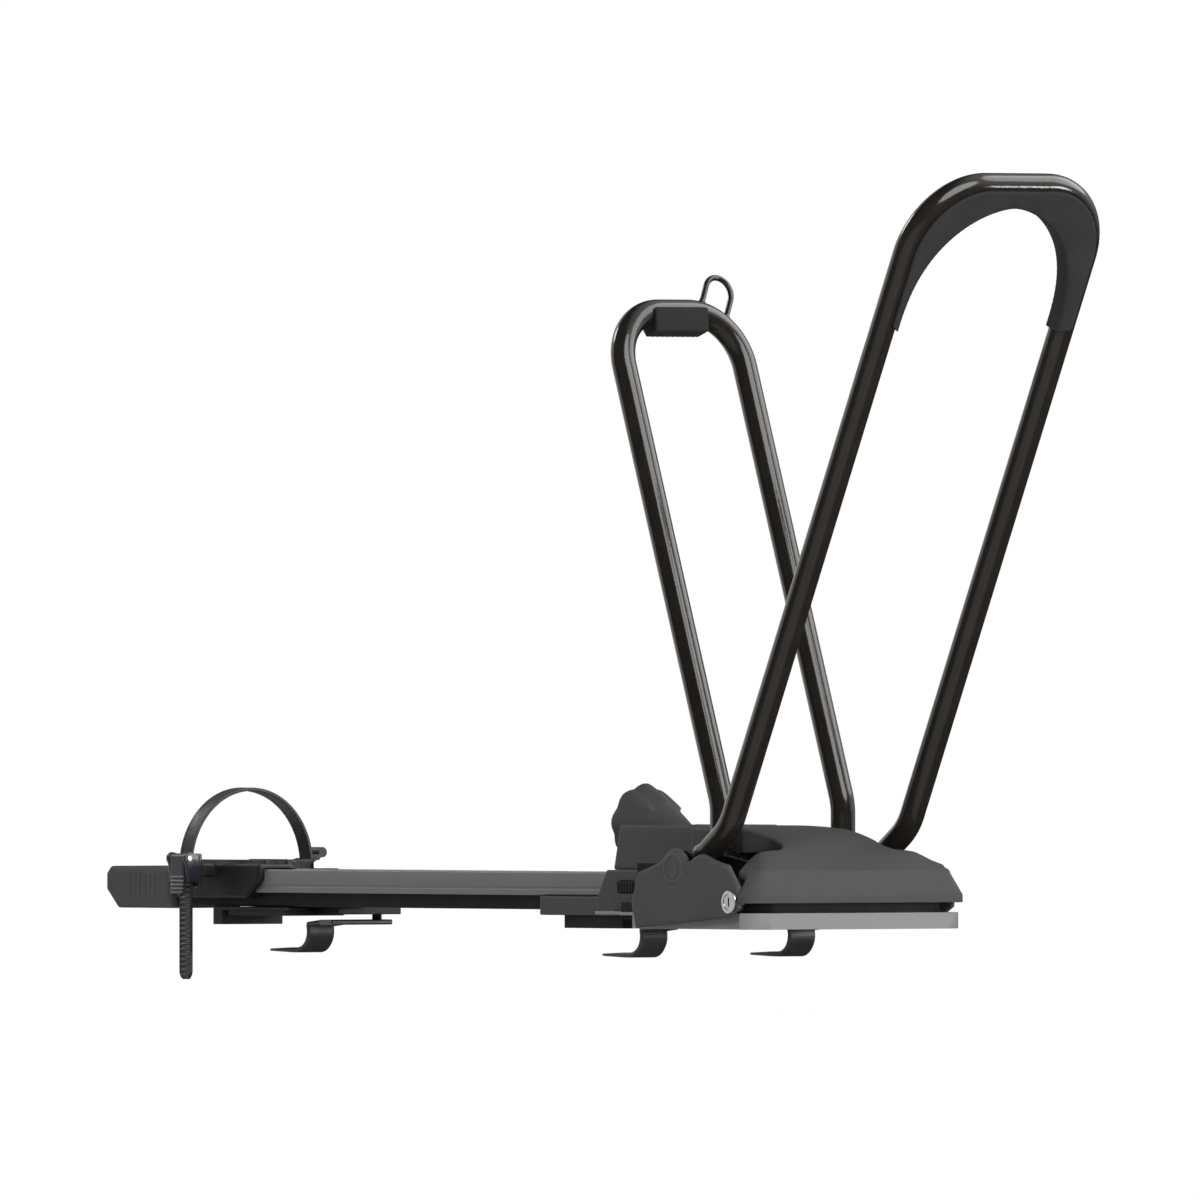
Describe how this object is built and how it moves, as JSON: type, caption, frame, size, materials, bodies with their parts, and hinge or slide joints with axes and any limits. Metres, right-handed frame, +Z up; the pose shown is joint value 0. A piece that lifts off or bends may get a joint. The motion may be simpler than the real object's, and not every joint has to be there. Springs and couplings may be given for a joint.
{
  "type": "roof-mounted bike carrier",
  "caption": "Upright wheel-on bike carrier for roof crossbars: folding wheel hoops on a domed base with a draw knob, and a sliding wheel tray with a strap.",
  "frame": {"origin": "middle of the front pad's underside, on top of the front crossbar", "axes": "+X along the carrier towards the car's front, +Y to the car's left, +Z up"},
  "size_m": [1.08, 0.2172, 0.619],
  "materials": {
    "base_paint": "satin",
    "chassis_black": "satin",
    "charcoal_plastic": "fine grain",
    "tray_paint": "satin",
    "black_plastic": "fine grain",
    "strap_plastic": "satin",
    "buckle_plastic": "gloss",
    "tube_paint": "gloss",
    "claw_paint": "satin",
    "rubber": "matt",
    "nylon": "satin",
    "steel": "plated",
    "lock_chrome": "polished",
    "nut_brass": "turned"
  },
  "bodies": {
    "chassis": {"base_plate": "base_paint", "chassis_frame": "chassis_black", "dome_cover": "charcoal_plastic", "tower_shroud": "charcoal_plastic", "side_cover_right": "charcoal_plastic", "side_cover_left": "charcoal_plastic", "tray_sleeve": "charcoal_plastic", "saddle_block": "chassis_black", "front_pad": "rubber", "rear_hoop_pins": "steel", "rear_pin_clips": "steel", "thrust_bush": "steel", "base_bolts": "steel", "side_cover_screws": "steel", "lock_housing": "lock_chrome"},
    "lock_core": {"lock_core": "lock_chrome"},
    "knob": {"torque_knob": "charcoal_plastic", "knob_cap": "black_plastic", "draw_screw": "steel", "screw_collar": "steel"},
    "carriage": {"carriage_yoke": "chassis_black", "draw_nut": "nut_brass", "front_hoop_pins": "steel", "front_pin_clips": "steel"},
    "front_hoop": {"front_hoop_tube": "tube_paint", "front_hoop_eyes": "tube_paint", "front_hoop_bushes": "nylon", "front_hoop_arch": "rubber"},
    "rear_hoop": {"rear_hoop_tube": "tube_paint", "rear_hoop_eyes": "tube_paint", "rear_hoop_bushes": "nylon", "rear_hoop_pad": "rubber", "lock_loop": "tube_paint"},
    "tray": {"tray_rail": "tray_paint", "tray_end_cap": "charcoal_plastic", "tray_stop": "black_plastic", "wheel_cradle": "black_plastic", "wheel_strap": "strap_plastic", "strap_anchor_pin": "steel", "buckle_body": "buckle_plastic", "buckle_pin": "steel"},
    "tray_button": {"tray_button": "black_plastic"},
    "buckle_lever": {"buckle_lever": "buckle_plastic"},
    "rear_foot": {"rear_foot_bracket": "black_plastic", "rear_foot_pad": "rubber", "rear_foot_slider": "black_plastic"},
    "rear_claw": {"rear_claw": "claw_paint"},
    "rear_claw_nut": {"rear_claw_nut": "black_plastic"},
    "front_claw_right": {"front_claw_right": "claw_paint"},
    "front_claw_left": {"front_claw_left": "claw_paint"},
    "front_claw_nut_right": {"front_claw_nut_right": "black_plastic"},
    "front_claw_nut_left": {"front_claw_nut_left": "black_plastic"}
  },
  "joints": [
    {"name": "knob_turn", "type": "hinge", "parent": "chassis", "child": "knob", "pos_m": [0.10987, 0, 0.04492], "axis": [0.9848, 0, -0.1736], "range_deg": [0, 2880]},
    {"name": "carriage_draw", "type": "slide", "parent": "chassis", "child": "carriage", "axis": [-0.9848, 0, 0.1736], "range_m": [0, 0.024]},
    {"name": "front_hoop_swing", "type": "hinge", "parent": "carriage", "child": "front_hoop", "pos_m": [0.109, 0, 0.04], "axis": [0, 1, 0], "range_deg": [-115, 15]},
    {"name": "rear_hoop_swing", "type": "hinge", "parent": "chassis", "child": "rear_hoop", "pos_m": [0.109, 0, 0.04], "axis": [0, 1, 0], "range_deg": [-68, 15]},
    {"name": "tray_extend", "type": "slide", "parent": "chassis", "child": "tray", "axis": [-1, 0, 0], "range_m": [0, 0.2]},
    {"name": "tray_button_press", "type": "slide", "parent": "chassis", "child": "tray_button", "axis": [0, 1, 0], "range_m": [0, 0.002], "stiffness_N_per_m": 800},
    {"name": "buckle_lever_swing", "type": "hinge", "parent": "tray", "child": "buckle_lever", "pos_m": [-0.55, -0.066, 0.0445], "axis": [-1, 0, 0], "range_deg": [0, 70]},
    {"name": "rear_foot_slide", "type": "slide", "parent": "tray", "child": "rear_foot", "axis": [1, 0, 0], "range_m": [-0.03, 0.25]},
    {"name": "rear_nut_turn", "type": "hinge", "parent": "rear_foot", "child": "rear_claw_nut", "pos_m": [-0.45, 0.05, 0.013], "axis": [0, 0, 1], "range_deg": [-576, 2880]},
    {"name": "rear_claw_lift", "type": "slide", "parent": "rear_foot", "child": "rear_claw", "axis": [0, 0, 1], "range_m": [-0.01, 0.002]},
    {"name": "front_nut_turn_right", "type": "hinge", "parent": "chassis", "child": "front_claw_nut_right", "pos_m": [0.05, -0.073, 0.022], "axis": [0, 0, 1], "range_deg": [-576, 2880]},
    {"name": "front_claw_lift_right", "type": "slide", "parent": "chassis", "child": "front_claw_right", "axis": [0, 0, 1], "range_m": [-0.01, 0.002]},
    {"name": "front_nut_turn_left", "type": "hinge", "parent": "chassis", "child": "front_claw_nut_left", "pos_m": [0.05, 0.073, 0.022], "axis": [0, 0, 1], "range_deg": [-576, 2880]},
    {"name": "front_claw_lift_left", "type": "slide", "parent": "chassis", "child": "front_claw_left", "axis": [0, 0, 1], "range_m": [-0.01, 0.002]},
    {"name": "lock_turn", "type": "hinge", "parent": "chassis", "child": "lock_core", "pos_m": [0.177, -0.105, 0.015], "axis": [0, 1, 0], "range_deg": [0, 90]}
  ],
  "couplings": [
    {"joint": "knob_turn", "follows": "carriage_draw", "rad_per_m": 2094.4},
    {"joint": "rear_nut_turn", "follows": "rear_claw_lift", "rad_per_m": -5026.5},
    {"joint": "front_nut_turn_right", "follows": "front_claw_lift_right", "rad_per_m": -5026.5},
    {"joint": "front_nut_turn_left", "follows": "front_claw_lift_left", "rad_per_m": -5026.5}
  ]
}
